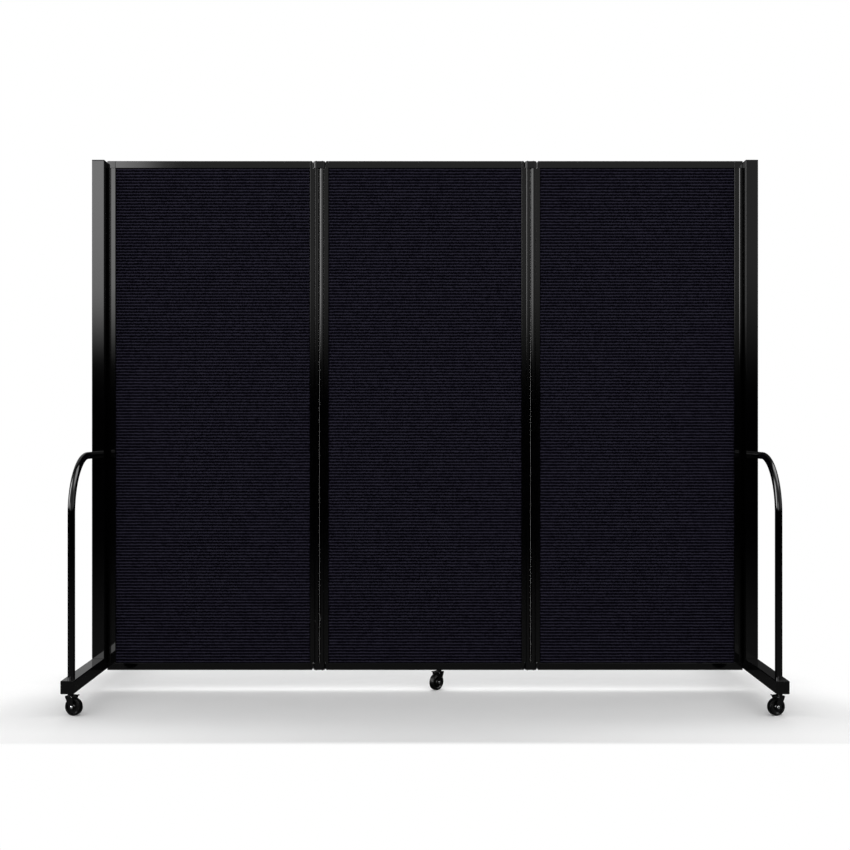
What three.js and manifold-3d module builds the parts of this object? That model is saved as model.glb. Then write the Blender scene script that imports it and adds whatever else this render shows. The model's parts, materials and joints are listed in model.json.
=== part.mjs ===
// Three-panel folding privacy screen on swivel casters, in millimetres with +Z up.
// The origin is on the floor under the middle of the screen. +X runs along it and -Y is its front.

import * as THREE from 'three';
import { mergeVertices } from 'three/addons/utils/BufferGeometryUtils.js';
import Module from 'manifold-3d';

const wasm = await Module();
wasm.setup();

// Whole screen
const screenLength = 2160;    // over the outer faces of the two posts
const frameBottom = 64;       // floor to the underside of the panels
const frameHeight = 1666;
const fitGap = 0.3;           // between pieces that are fixed to each other
const cutOverrun = 2;         // how far each cut runs past the face that it opens
const arcChord = 1.6;         // longest straight step on a rounded edge
const fewestArcSteps = 2;

// Panel frames
const frameThickness = 20;
const railHeight = 23;
const stileFlatWidth = 15.2;  // from the cloth's edge to the groove
const grooveWidth = 2.8;
const grooveDepth = 2.2;
const noseNeck = 1.5;         // straight stretch between the groove and the nose
const edgeRadius = 0.8;
const slotDepth = 6;          // slot that holds the board's edge
const slotLip = 1.5;          // wall beside the slot
const railWall = 2;
const noseTrim = 2.8;         // taken off the nose where a stile stands against its post

// Board and cloth
const clothThickness = 1.2;

// Hinges
const slitWidth = 0.6;        // daylight between the noses of two panels
const rodRadius = 3;
const rodClearance = 0.3;
const rodHeadRadius = 4;
const rodHeadHeight = 2.7;
const linkSwingGap = 0.8;     // from a turning link to the stile beside it
const foldGap = 1.5;          // from a folded wing's post to the far end of the centre panel

// Posts and their caps
const postWidth = 40;
const postDepth = 94;
const postWall = 2;
const postCornerRadius = 1.6;
const postInnerRadius = 0.5;
const postSetback = 4;        // from the frame's top down to the top of the cap
const capThickness = 3;
const capPlugDepth = 16;
const capEdge = 1;

// Feet
const legLength = 756;
const legHeight = 39.5;
const legBottom = 68.5;
const legWall = 2.5;
const legCornerRadius = 2.5;

// Bent support tubes
const hoopTubeRadius = 11;
const hoopHeight = 770;       // centre line of the level run
const hoopReach = 335;        // screen's middle plane to the centre line of the upright run
const hoopBendRadius = 172;
const hoopSides = 16;
const hoopBendSteps = 12;

// Corner brackets
const spigotLength = 20;      // goes into the hollow rail

// Casters
const wheelRadius = 26;
const wheelWidth = 18;
const wheelSides = 24;
const wheelHubRadius = 7.5;
const wheelWebInner = 9.5;
const wheelWebOuter = 17.5;
const wheelWebThickness = 11;
const wheelHubWidth = 20;
const treadRound = 2.5;
const trail = 13;             // swivel axis to axle
const axleRadius = 3;
const axleHeadRadius = 4.6;
const axleHeadHeight = 1.5;
const roundSides = 12;
const hubClearance = 0.6;     // wheel hub to fork arm
const armThickness = 3;
const armBossRadius = 7;
const crownHalfLength = 9;
const crownThickness = 4.5;
const crownGap = 3;           // wheel to the underside of the crown
const swivelRadius = 9;
const stemRadius = 5;
const stemLength = 15;
const socketWall = 4;
const socketExtra = 3;        // socket beyond the stem's end
const casterInset = 32;       // foot's end to the swivel axis
const centreCasterX = 46;
const wingCasterTurn = THREE.MathUtils.degToRad(18);
const centreCasterTurn = THREE.MathUtils.degToRad(228);

// Brake pedals
const pedalHubRadius = 2.8;
const pedalPinRadius = 1.6;
const pedalEar = 0.7;         // fork wall left round the pedal's hub
const pedalGap = 0.5;
const pedalLength = 13.5;     // pivot to tip
const pedalRise = 4;
const pedalThickness = 2.8;
const brakeLugReach = 7.2;
const brakeLugWidth = 3;
const brakeLugDrop = 3.4;

// Places that follow from these sizes
const noseRadius = frameThickness / 2;
const pinSpacing = frameThickness + slitWidth;
const stilePin = stileFlatWidth + grooveWidth + noseNeck;
const stileWidth = stilePin + noseRadius;
const endStileWidth = stileWidth - noseTrim;
const slotWidth = frameThickness - 2 * slotLip;
const postX = screenLength / 2 - postWidth / 2;
const postInner = screenLength / 2 - postWidth;
// With this place, a wing folds flat past the centre panel's other end
const hingeX = (postInner + pinSpacing / 2 - noseRadius - foldGap) / 3;
const innerPin = hingeX - pinSpacing / 2;
const outerPin = hingeX + pinSpacing / 2;
const centreClothWidth = 2 * (innerPin - stilePin);
const wingClothStart = outerPin + stilePin;
const wingClothEnd = postInner - fitGap - endStileWidth;
const wingClothWidth = wingClothEnd - wingClothStart;
const frameTop = frameBottom + frameHeight;
const frameMiddle = frameBottom + frameHeight / 2;
const clothHeight = frameHeight - 2 * railHeight;
const postTop = frameTop - postSetback;
const legTop = legBottom + legHeight;
const casterY = legLength / 2 - casterInset;
const axleHeight = wheelRadius * Math.cos(Math.PI / wheelSides);
const crownBottom = axleHeight + wheelRadius + crownGap;
const crownTop = crownBottom + crownThickness;
const armInner = wheelHubWidth / 2 + hubClearance;
const armOuter = armInner + armThickness;
const pedalPivotX = crownHalfLength + pedalGap + pedalHubRadius;
const earRadius = pedalHubRadius + pedalEar;
const pedalPivotZ = crownTop - earRadius;

// Finishes
const blackEnamel = new THREE.MeshStandardMaterial({ color: 0x0b0b0c, roughness: 0.18, metalness: 0.1 });
const blackTube = new THREE.MeshStandardMaterial({ color: 0x080809, roughness: 0.12, metalness: 0.2 });
const blackPlastic = new THREE.MeshStandardMaterial({ color: 0x111112, roughness: 0.42, metalness: 0 });
const blackTread = new THREE.MeshStandardMaterial({ color: 0x0d0d0e, roughness: 0.6, metalness: 0 });
const navyCloth = new THREE.MeshStandardMaterial({ color: 0x0c0c16, roughness: 0.95, metalness: 0 });
const rawBoard = new THREE.MeshStandardMaterial({ color: 0x8a6f4d, roughness: 0.8, metalness: 0 });
const brightSteel = new THREE.MeshStandardMaterial({ color: 0xc4c6c8, roughness: 0.2, metalness: 1 });
const rodSteel = new THREE.MeshStandardMaterial({ color: 0x1a1a1c, roughness: 0.3, metalness: 0.6 });

// Closed triangle mesh to solid, and back
function solidOf(geometry) {
  const bare = geometry.clone();
  bare.deleteAttribute('normal');
  bare.deleteAttribute('uv');
  const merged = mergeVertices(bare);
  return new wasm.Manifold(new wasm.Mesh({
    numProp: 3,
    vertProperties: merged.attributes.position.array,
    triVerts: merged.index.array,
  }));
}

function geometryOf(solid) {
  const mesh = solid.getMesh();
  const geometry = new THREE.BufferGeometry();
  geometry.setAttribute('position', new THREE.BufferAttribute(mesh.vertProperties, 3));
  geometry.setIndex(new THREE.BufferAttribute(mesh.triVerts, 1));
  geometry.computeVertexNormals();
  return geometry;
}

// Points of a closed outline whose corners are [x, y, radius], each rounded with its own radius
function roundedOutline(corners) {
  const points = [];
  corners.forEach(([x, y, radius], index) => {
    const corner = new THREE.Vector2(x, y);
    if (!radius) {
      points.push(corner);
      return;
    }
    const [previousX, previousY] = corners.at(index - 1);
    const [nextX, nextY] = corners[(index + 1) % corners.length];
    const toPrevious = new THREE.Vector2(previousX, previousY).sub(corner).normalize();
    const toNext = new THREE.Vector2(nextX, nextY).sub(corner).normalize();
    const halfAngle = Math.acos(toPrevious.dot(toNext)) / 2;
    const toCentre = toPrevious.clone().add(toNext).normalize();
    const centre = corner.clone().addScaledVector(toCentre, radius / Math.sin(halfAngle));
    const spoke = corner.clone().addScaledVector(toPrevious, radius / Math.tan(halfAngle)).sub(centre);
    const sweep = (Math.PI - 2 * halfAngle) * Math.sign(toNext.cross(toPrevious));
    const steps = Math.max(fewestArcSteps, Math.ceil((Math.abs(sweep) * radius) / arcChord));
    for (let step = 0; step <= steps; step += 1) {
      points.push(spoke.clone().rotateAround(new THREE.Vector2(), (sweep * step) / steps).add(centre));
    }
  });
  return points.filter((point, index) => !point.equals(points.at(index - 1)));
}

// Outline of a block that is centred on the origin
function blockOutline(width, height, radius) {
  return roundedOutline([
    [-width / 2, -height / 2, radius],
    [width / 2, -height / 2, radius],
    [width / 2, height / 2, radius],
    [-width / 2, height / 2, radius],
  ]);
}

// Straight bar with the outline in its XY plane and its length along Z, centred on the origin
function bar(outline, length, holes = []) {
  const shape = new THREE.Shape(outline);
  shape.holes = holes.map((points) => new THREE.Path(points));
  const geometry = new THREE.ExtrudeGeometry(shape, { depth: length, bevelEnabled: false });
  return geometry.translate(0, 0, -length / 2);
}

// Turns a bar so that its length lies along X and its outline in the YZ plane
function laidAlongX(geometry) {
  const turn = new THREE.Matrix4().makeBasis(
    new THREE.Vector3(0, 1, 0),
    new THREE.Vector3(0, 0, 1),
    new THREE.Vector3(1, 0, 0),
  );
  return geometry.applyMatrix4(turn);
}

// Turns a bar so that its length lies along Y and its outline in the XZ plane
function laidAlongY(geometry) {
  return geometry.rotateX(Math.PI / 2);
}

// Circle of points for a round hole
function circleOutline(x, y, radius, sides = roundSides) {
  const step = (2 * Math.PI) / sides;
  return Array.from({ length: sides }, (_, index) => new THREE.Vector2(
    x + radius * Math.cos(index * step),
    y + radius * Math.sin(index * step),
  ));
}

// Box between a low and a high corner
function boxBetween(low, high) {
  const size = high.map((value, axis) => value - low[axis]);
  const geometry = new THREE.BoxGeometry(...size);
  return geometry.translate(...low.map((value, axis) => value + size[axis] / 2));
}

// Round peg with its axis along Z
function peg(radius, low, high) {
  const geometry = new THREE.CylinderGeometry(radius, radius, high - low, roundSides);
  return geometry.rotateX(Math.PI / 2).translate(0, 0, (low + high) / 2);
}

// Round pin with a low domed head at each end, along Z and centred on the origin
function headedPin(radius, length, headRadius, headHeight) {
  const half = length / 2;
  const crown = headHeight / 2;
  const upper = [
    [radius, half],
    [headRadius, half],
    [headRadius, half + crown],
    [headRadius - crown, half + headHeight],
    [0, half + headHeight],
  ];
  const lower = upper.map(([across, along]) => [across, -along]).reverse();
  const profile = [...lower, ...upper].map(([across, along]) => new THREE.Vector2(across, along));
  return new THREE.LatheGeometry(profile, roundSides).rotateX(Math.PI / 2);
}

function named(name, geometry, material, x = 0, y = 0, z = 0) {
  const mesh = new THREE.Mesh(geometry, material);
  mesh.name = name;
  mesh.position.set(x, y, z);
  return mesh;
}

// Stile outline: the cloth's edge is at x = 0, with the board's slot open to it, and the nose is at the far end
function stileOutline() {
  const half = frameThickness / 2;
  const slotHalf = slotWidth / 2;
  const grooveEnd = stileFlatWidth + grooveWidth;
  return roundedOutline([
    [0, -half, edgeRadius],
    [stileFlatWidth, -half, edgeRadius],
    [stileFlatWidth, -half + grooveDepth, 0],
    [grooveEnd, -half + grooveDepth, 0],
    [grooveEnd, -half, edgeRadius],
    [stileWidth, -half, noseRadius],
    [stileWidth, half, noseRadius],
    [grooveEnd, half, edgeRadius],
    [grooveEnd, half - grooveDepth, 0],
    [stileFlatWidth, half - grooveDepth, 0],
    [stileFlatWidth, half, edgeRadius],
    [0, half, edgeRadius],
    [0, slotHalf, 0],
    [slotDepth, slotHalf, 0],
    [slotDepth, -slotHalf, 0],
    [0, -slotHalf, 0],
  ]);
}

// Full-height stile with a bore for the pivot rod, cut back at both ends to let the link blocks turn
function hingeStile() {
  const bore = circleOutline(stilePin, 0, rodRadius + rodClearance);
  const stile = solidOf(bar(stileOutline(), frameHeight, [bore]));
  const cutStart = stilePin - noseRadius - linkSwingGap;
  const cutHalf = frameThickness / 2 + cutOverrun;
  const notchFoot = frameHeight / 2 - railHeight - linkSwingGap;
  const topNotch = boxBetween(
    [cutStart, -cutHalf, notchFoot],
    [stileWidth + cutOverrun, cutHalf, frameHeight / 2 + cutOverrun],
  );
  const bottomNotch = topNotch.clone().rotateX(Math.PI);
  return geometryOf(stile.subtract(solidOf(topNotch)).subtract(solidOf(bottomNotch)));
}

// Shorter stile between the corner brackets, with its nose planed flat for the post
function endStile() {
  const length = clothHeight - 2 * fitGap;
  const stile = solidOf(bar(stileOutline(), length));
  const cutHalf = frameThickness / 2 + cutOverrun;
  const trim = boxBetween(
    [endStileWidth, -cutHalf, -length / 2 - cutOverrun],
    [stileWidth + cutOverrun, cutHalf, length / 2 + cutOverrun],
  );
  return geometryOf(stile.subtract(solidOf(trim)));
}

// Hollow rail, centred on its height, with the board's slot in its upper side
function bottomRail(length) {
  const half = frameThickness / 2;
  const slotHalf = slotWidth / 2;
  const low = -railHeight / 2;
  const high = railHeight / 2;
  const outline = roundedOutline([
    [-half, low, edgeRadius],
    [half, low, edgeRadius],
    [half, high, edgeRadius],
    [slotHalf, high, 0],
    [slotHalf, high - slotDepth, 0],
    [-slotHalf, high - slotDepth, 0],
    [-slotHalf, high, 0],
    [-half, high, edgeRadius],
  ]);
  const hollow = boxHole(
    -half + railWall,
    low + railWall,
    half - railWall,
    high - slotDepth - railWall,
  );
  return laidAlongX(bar(outline, length, [hollow]));
}

function boxHole(lowX, lowY, highX, highY) {
  return [
    new THREE.Vector2(lowX, lowY),
    new THREE.Vector2(highX, lowY),
    new THREE.Vector2(highX, highY),
    new THREE.Vector2(lowX, highY),
  ];
}

// Bottom rail with a socket for the middle caster's stem
function socketRail(length) {
  const low = -railHeight / 2;
  const socketTop = railHeight / 2 - slotDepth - railWall / 2;
  const socketHalf = frameThickness / 2 - railWall / 2;
  const socket = boxBetween(
    [centreCasterX - stemRadius - socketWall, -socketHalf, low + railWall / 2],
    [centreCasterX + stemRadius + socketWall, socketHalf, socketTop],
  );
  const bore = peg(stemRadius + fitGap, low - cutOverrun, low + stemLength + fitGap).translate(centreCasterX, 0, 0);
  return geometryOf(solidOf(bottomRail(length)).add(solidOf(socket)).subtract(solidOf(bore)));
}

// Cloth drawn round the board like a sleeve, open along its top and bottom edges inside the rails
function clothSleeve(clothWidth) {
  const width = clothWidth + 2 * (slotDepth - fitGap);
  const thickness = slotWidth - 2 * fitGap;
  const inside = boxHole(
    -width / 2 + clothThickness,
    -thickness / 2 + clothThickness,
    width / 2 - clothThickness,
    thickness / 2 - clothThickness,
  );
  return bar(blockOutline(width, thickness, edgeRadius), clothHeight + 2 * (slotDepth - fitGap), [inside]);
}

function board(clothWidth) {
  const width = clothWidth + 2 * (slotDepth - 2 * fitGap - clothThickness);
  const thickness = slotWidth - 4 * fitGap - 2 * clothThickness;
  return bar(blockOutline(width, thickness, 0), clothHeight + 2 * (slotDepth - fitGap));
}

// Corner block between rail and post, with a spigot in the rail's hollow; the cloth's edge is at x = 0
function cornerBracket() {
  const half = frameThickness / 2;
  const slotHalf = slotWidth / 2;
  const low = -railHeight / 2;
  const high = railHeight / 2;
  const block = bar(roundedOutline([
    [0, -half, edgeRadius],
    [endStileWidth, -half, edgeRadius],
    [endStileWidth, half, edgeRadius],
    [0, half, edgeRadius],
  ]), railHeight);
  const slot = boxBetween(
    [-cutOverrun, -slotHalf, high - slotDepth],
    [slotDepth, slotHalf, high + cutOverrun],
  );
  const spigot = boxBetween(
    [-spigotLength, -half + railWall + fitGap, low + railWall + fitGap],
    [slotDepth, half - railWall - fitGap, high - slotDepth - railWall - fitGap],
  );
  return geometryOf(solidOf(block).subtract(solidOf(slot)).add(solidOf(spigot)));
}

// Link block between two pivot rods
function linkBlock() {
  const reach = pinSpacing / 2;
  const bores = [-reach, reach].map((x) => circleOutline(x, 0, rodRadius + rodClearance));
  return bar(blockOutline(pinSpacing + frameThickness, frameThickness, noseRadius), railHeight, bores);
}

function pivotRod() {
  return headedPin(rodRadius, frameHeight + 2 * fitGap, rodHeadRadius, rodHeadHeight);
}

// Hollow upright
function postTube() {
  const outside = blockOutline(postWidth, postDepth, postCornerRadius);
  const inside = blockOutline(postWidth - 2 * postWall, postDepth - 2 * postWall, postInnerRadius);
  return bar(outside, postTop - capThickness - legTop - 2 * fitGap, [inside]);
}

// Cap whose underside is at z = 0, with a plug that goes down into the post
function postCap() {
  const plugWall = postWall + fitGap;
  const plate = new THREE.ExtrudeGeometry(
    new THREE.Shape(blockOutline(postWidth - 2 * capEdge, postDepth - 2 * capEdge, postCornerRadius - capEdge)),
    {
      depth: capThickness - 2 * capEdge,
      bevelThickness: capEdge,
      bevelSize: capEdge,
      bevelSegments: 1,
    },
  ).translate(0, 0, capEdge);
  const plug = bar(
    blockOutline(postWidth - 2 * plugWall, postDepth - 2 * plugWall, postInnerRadius),
    capPlugDepth + capEdge,
  ).translate(0, 0, (capEdge - capPlugDepth) / 2);
  return geometryOf(solidOf(plate).add(solidOf(plug)));
}

// Hollow foot along Y, closed at its ends, with a socket for a caster stem near each end
function foot() {
  const shell = laidAlongY(bar(blockOutline(postWidth, legHeight, legCornerRadius), legLength));
  const hollow = boxBetween(
    [-postWidth / 2 + legWall, -legLength / 2 + legWall, -legHeight / 2 + legWall],
    [postWidth / 2 - legWall, legLength / 2 - legWall, legHeight / 2 - legWall],
  );
  const low = -legHeight / 2;
  const socketTop = low + stemLength + socketExtra;
  let solid = solidOf(shell).subtract(solidOf(hollow));
  [-casterY, casterY].forEach((y) => {
    const socket = peg(stemRadius + socketWall, low + legWall / 2, socketTop).translate(0, y, 0);
    const bore = peg(stemRadius + fitGap, low - cutOverrun, socketTop + cutOverrun).translate(0, y, 0);
    solid = solid.add(solidOf(socket)).subtract(solidOf(bore));
  });
  return geometryOf(solid);
}

// Centre line of a bent tube: level out from the post, a quarter bend, then down to the foot
class HoopLine extends THREE.Curve {
  getPoint(share) {
    const step = share * (hoopBendSteps + 2);
    if (step < 1) {
      const start = postDepth / 2 + fitGap;
      const end = hoopReach - hoopBendRadius;
      return new THREE.Vector3(0, -(start + step * (end - start)), hoopHeight);
    }
    const turn = (Math.min(step - 1, hoopBendSteps) / hoopBendSteps) * (Math.PI / 2);
    const drop = Math.max(step - 1 - hoopBendSteps, 0);
    const bendEnd = hoopHeight - hoopBendRadius;
    return new THREE.Vector3(
      0,
      -(hoopReach - hoopBendRadius * (1 - Math.sin(turn))),
      bendEnd + hoopBendRadius * Math.cos(turn) - drop * (bendEnd - legTop - fitGap),
    );
  }

  getPointAt(share) {
    return this.getPoint(share);
  }

  getTangentAt(share) {
    const step = share * (hoopBendSteps + 2) - 1;
    const turn = THREE.MathUtils.clamp(step / hoopBendSteps, 0, 1) * (Math.PI / 2);
    return new THREE.Vector3(0, -Math.cos(turn), -Math.sin(turn));
  }
}

function bentTube() {
  const section = new THREE.Shape(circleOutline(0, 0, hoopTubeRadius, hoopSides));
  return new THREE.ExtrudeGeometry(section, { steps: hoopBendSteps + 2, extrudePath: new HoopLine() });
}

// Caster parts share a frame: the swivel axis is Z, the wheel trails towards +X and the floor is at z = 0

// Fork with two arms, a crown and a swivel stem that goes up into its socket
function casterFork(mountHeight) {
  const arm = laidAlongY(bar(roundedOutline([
    [-crownHalfLength, crownTop, edgeRadius],
    [-crownHalfLength, crownBottom, 0],
    [trail - armBossRadius, axleHeight - armBossRadius, armBossRadius],
    [trail + armBossRadius, axleHeight - armBossRadius, armBossRadius],
    [pedalPivotX + earRadius, pedalPivotZ, 0],
    [pedalPivotX + earRadius, crownTop, earRadius],
  ]), armThickness));
  const armCentre = (armInner + armOuter) / 2;
  const crown = boxBetween(
    [-crownHalfLength, -armOuter, crownBottom],
    [crownHalfLength, armOuter, crownTop],
  );
  const swivel = peg(swivelRadius, crownTop - crownThickness / 2, mountHeight - fitGap);
  const stem = peg(stemRadius, crownTop, mountHeight + stemLength);
  const axleBore = laidAlongY(peg(axleRadius + fitGap, -armOuter - cutOverrun, armOuter + cutOverrun));
  const pivotBore = laidAlongY(peg(pedalPinRadius + fitGap, -armOuter - cutOverrun, armOuter + cutOverrun));
  return geometryOf(
    solidOf(arm.clone().translate(0, -armCentre, 0))
      .add(solidOf(arm.translate(0, armCentre, 0)))
      .add(solidOf(crown))
      .add(solidOf(swivel))
      .add(solidOf(stem))
      .subtract(solidOf(axleBore.translate(trail, 0, axleHeight)))
      .subtract(solidOf(pivotBore.translate(pedalPivotX, 0, pedalPivotZ))),
  );
}

// Wheel turned round its axle: hub, thin web and a rounded tread
function casterWheel() {
  const side = [
    [axleRadius + fitGap, wheelHubWidth / 2],
    [wheelHubRadius, wheelHubWidth / 2],
    [wheelWebInner, wheelWebThickness / 2],
    [wheelWebOuter, wheelWebThickness / 2],
    [wheelWebOuter + treadRound, wheelWidth / 2],
    [wheelRadius - treadRound, wheelWidth / 2],
    [wheelRadius, wheelWidth / 2 - treadRound],
  ];
  const mirrored = side.map(([across, along]) => [across, -along]);
  const profile = [...mirrored, ...side.reverse(), mirrored[0]];
  const points = profile.map(([across, along]) => new THREE.Vector2(across, along));
  return new THREE.LatheGeometry(points, wheelSides, Math.PI / wheelSides);
}

function casterAxle() {
  const length = 2 * (armOuter + fitGap);
  return laidAlongY(headedPin(axleRadius, length, axleHeadRadius, axleHeadHeight));
}

// Pedal with its pivot at the origin: a rising tongue behind, and a lug that presses on the wheel
function brakePedal() {
  const tongue = bar(roundedOutline([
    [-pedalHubRadius, -pedalHubRadius, pedalHubRadius],
    [brakeLugReach - brakeLugWidth, -pedalHubRadius, 0],
    [brakeLugReach - brakeLugWidth / 2, -brakeLugDrop, 0],
    [brakeLugReach + brakeLugWidth / 2, -brakeLugDrop, edgeRadius],
    [brakeLugReach + brakeLugWidth / 2, pedalRise / 2 - pedalThickness / 2, 0],
    [pedalLength, pedalRise - pedalThickness / 2, edgeRadius],
    [pedalLength, pedalRise + pedalThickness / 2, edgeRadius],
    [0, pedalHubRadius, edgeRadius],
    [-pedalHubRadius, pedalHubRadius, pedalHubRadius],
  ]), 2 * (armInner - fitGap));
  const pin = peg(pedalPinRadius, -armOuter, armOuter);
  return geometryOf(solidOf(laidAlongY(tongue)).add(solidOf(laidAlongY(pin))));
}

function caster(name, x, y, turn, mountHeight) {
  const group = new THREE.Group();
  group.add(named(`${name}_caster_fork`, casterFork(mountHeight), blackPlastic));
  group.add(named(`${name}_caster_wheel`, casterWheel(), blackTread, trail, 0, axleHeight));
  group.add(named(`${name}_caster_axle`, casterAxle(), brightSteel, trail, 0, axleHeight));
  group.add(named(`${name}_brake_pedal`, brakePedal(), blackPlastic, pedalPivotX, 0, pedalPivotZ));
  group.position.set(x, y, 0);
  group.rotation.z = turn;
  return group;
}

// Pieces that every panel has, centred on the panel's cloth
function panelCore(name, clothWidth) {
  const group = new THREE.Group();
  const railLength = clothWidth - 2 * fitGap;
  const topRail = named(`${name}_top_rail`, bottomRail(railLength), blackEnamel, 0, 0, frameTop - railHeight / 2);
  topRail.rotation.x = Math.PI;
  group.add(topRail);
  group.add(named(`${name}_board`, board(clothWidth), rawBoard, 0, 0, frameMiddle));
  group.add(named(`${name}_fabric`, clothSleeve(clothWidth), navyCloth, 0, 0, frameMiddle));
  return group;
}

// Stile at a panel's side: 1 is its +X side and -1 its -X side
function placedStile(name, geometry, clothWidth, side) {
  const stile = named(name, geometry, blackEnamel, (side * clothWidth) / 2, 0, frameMiddle);
  stile.rotation.z = side > 0 ? 0 : Math.PI;
  return stile;
}

function centrePanel() {
  const group = panelCore('centre', centreClothWidth);
  const bottomHeight = frameBottom + railHeight / 2;
  const rail = socketRail(centreClothWidth - 2 * fitGap);
  group.add(named('centre_bottom_rail', rail, blackEnamel, 0, 0, bottomHeight));
  group.add(placedStile('centre_left_stile', hingeStile(), centreClothWidth, -1));
  group.add(placedStile('centre_right_stile', hingeStile(), centreClothWidth, 1));
  group.add(caster('centre', centreCasterX, 0, centreCasterTurn, frameBottom));
  return group;
}

// A wing's panel, which lies on the -X side of the screen
function wingPanel(name) {
  const group = panelCore(name, wingClothWidth);
  const bottomHeight = frameBottom + railHeight / 2;
  const rail = bottomRail(wingClothWidth - 2 * fitGap);
  group.add(named(`${name}_bottom_rail`, rail, blackEnamel, 0, 0, bottomHeight));
  group.add(placedStile(`${name}_inner_stile`, hingeStile(), wingClothWidth, 1));
  group.add(placedStile(`${name}_outer_stile`, endStile(), wingClothWidth, -1));
  const bracketX = -wingClothWidth / 2;
  const bottomBracket = named(`${name}_bottom_bracket`, cornerBracket(), blackPlastic, bracketX, 0, bottomHeight);
  bottomBracket.rotation.z = Math.PI;
  const topHeight = frameTop - railHeight / 2;
  const topBracket = named(`${name}_top_bracket`, cornerBracket(), blackPlastic, bracketX, 0, topHeight);
  topBracket.rotation.y = Math.PI;
  group.add(bottomBracket, topBracket);
  group.position.x = -(wingClothStart + wingClothEnd) / 2;
  return group;
}

// Post, foot and bent tubes at a wing's outer end, on the -X side of the screen
function standAssembly(name, nearEnd, farEnd) {
  const group = new THREE.Group();
  const postLow = legTop + fitGap;
  const postHigh = postTop - capThickness - fitGap;
  group.add(named(`${name}_post`, postTube(), blackEnamel, 0, 0, (postLow + postHigh) / 2));
  group.add(named(`${name}_post_cap`, postCap(), blackPlastic, 0, 0, postTop - capThickness));
  group.add(named(`${name}_leg`, foot(), blackEnamel, 0, 0, legBottom + legHeight / 2));
  group.add(named(`${name}_${nearEnd}_hoop`, bentTube(), blackTube));
  const farHoop = named(`${name}_${farEnd}_hoop`, bentTube(), blackTube);
  farHoop.rotation.z = Math.PI;
  group.add(farHoop);
  group.add(caster(`${name}_${nearEnd}`, 0, -casterY, -wingCasterTurn, legBottom));
  group.add(caster(`${name}_${farEnd}`, 0, casterY, wingCasterTurn, legBottom));
  group.position.x = -postX;
  return group;
}

// Two link blocks and two rods that join a wing to the centre panel, on the -X side of the screen
function hinge(name) {
  const group = new THREE.Group();
  group.add(named(`${name}_top_link`, linkBlock(), blackEnamel, 0, 0, frameTop - railHeight / 2));
  group.add(named(`${name}_bottom_link`, linkBlock(), blackEnamel, 0, 0, frameBottom + railHeight / 2));
  group.add(named(`${name}_inner_rod`, pivotRod(), rodSteel, pinSpacing / 2, 0, frameMiddle));
  group.add(named(`${name}_outer_rod`, pivotRod(), rodSteel, -pinSpacing / 2, 0, frameMiddle));
  group.position.x = -hingeX;
  return group;
}

// One side of the screen. The right side is the left one turned half round, so its near end is at the back.
function sideAssembly(name, nearEnd, farEnd) {
  const group = new THREE.Group();
  group.add(hinge(name), wingPanel(name), standAssembly(name, nearEnd, farEnd));
  return group;
}

const screen = new THREE.Group();
const leftSide = sideAssembly('left', 'front', 'rear');
const rightSide = sideAssembly('right', 'rear', 'front');
rightSide.rotation.z = Math.PI;
screen.add(centrePanel(), leftSide, rightSide);

export default screen;
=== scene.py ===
# Three-panel privacy screen on casters, dressed for a studio picture.
# Metres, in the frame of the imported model: +X along the screen, -Y its front, the floor at zero.
import json
import math

import bpy
import numpy as np
from mathutils import Matrix, Vector


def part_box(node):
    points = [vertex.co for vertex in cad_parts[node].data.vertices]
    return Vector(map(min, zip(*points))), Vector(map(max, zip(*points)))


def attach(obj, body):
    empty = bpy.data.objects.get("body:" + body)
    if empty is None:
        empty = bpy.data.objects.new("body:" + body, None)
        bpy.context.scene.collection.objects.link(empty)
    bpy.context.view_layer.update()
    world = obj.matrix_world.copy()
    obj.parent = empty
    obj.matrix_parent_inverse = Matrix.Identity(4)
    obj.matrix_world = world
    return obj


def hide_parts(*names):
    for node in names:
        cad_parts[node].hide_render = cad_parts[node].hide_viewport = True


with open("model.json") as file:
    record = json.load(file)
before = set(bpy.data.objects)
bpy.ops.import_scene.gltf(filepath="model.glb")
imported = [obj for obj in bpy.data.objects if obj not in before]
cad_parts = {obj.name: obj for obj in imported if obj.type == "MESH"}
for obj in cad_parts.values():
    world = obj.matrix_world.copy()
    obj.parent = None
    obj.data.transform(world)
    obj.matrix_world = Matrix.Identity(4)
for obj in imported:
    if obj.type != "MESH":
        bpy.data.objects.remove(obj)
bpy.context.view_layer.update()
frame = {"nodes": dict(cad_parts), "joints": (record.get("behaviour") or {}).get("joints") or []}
scene = bpy.context.scene
mm = 0.001
joints = {joint["name"]: joint for joint in frame["joints"]}


# Camera, level and square to the screen
cameraView = {
    "place": (0, -3.8737, 0.866),
    "lens": 50,
    "sensor": 36,
}


def setCamera(view):
    data = bpy.data.cameras.new("studioCamera")
    data.lens = view["lens"]
    data.sensor_width = view["sensor"]
    camera = bpy.data.objects.new("studioCamera", data)
    scene.collection.objects.link(camera)
    camera.location = view["place"]
    camera.rotation_euler = (math.pi / 2, 0, 0)
    scene.camera = camera


setCamera(cameraView)
scene.view_settings.view_transform = "Standard"
print("camera set")


# Node trees
def addNode(tree, kind, inputs=None, **settings):
    node = tree.nodes.new(kind)
    for name, value in settings.items():
        setattr(node, name, value)
    for name, value in (inputs or {}).items():
        if isinstance(value, bpy.types.NodeSocket):
            tree.links.new(value, node.inputs[name])
        else:
            node.inputs[name].default_value = value
    return node


def calculate(tree, operation, first, second=0.0):
    node = addNode(tree, "ShaderNodeMath", {0: first, 1: second}, operation=operation)
    return node.outputs[0]


# Smooth step of a value from one level to another
def ramp(tree, value, start, end, low=0.0, high=1.0):
    inputs = {"Value": value, "From Min": start, "From Max": end, "To Min": low, "To Max": high}
    node = addNode(tree, "ShaderNodeMapRange", inputs, interpolation_type="SMOOTHSTEP")
    return node.outputs["Result"]


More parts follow.
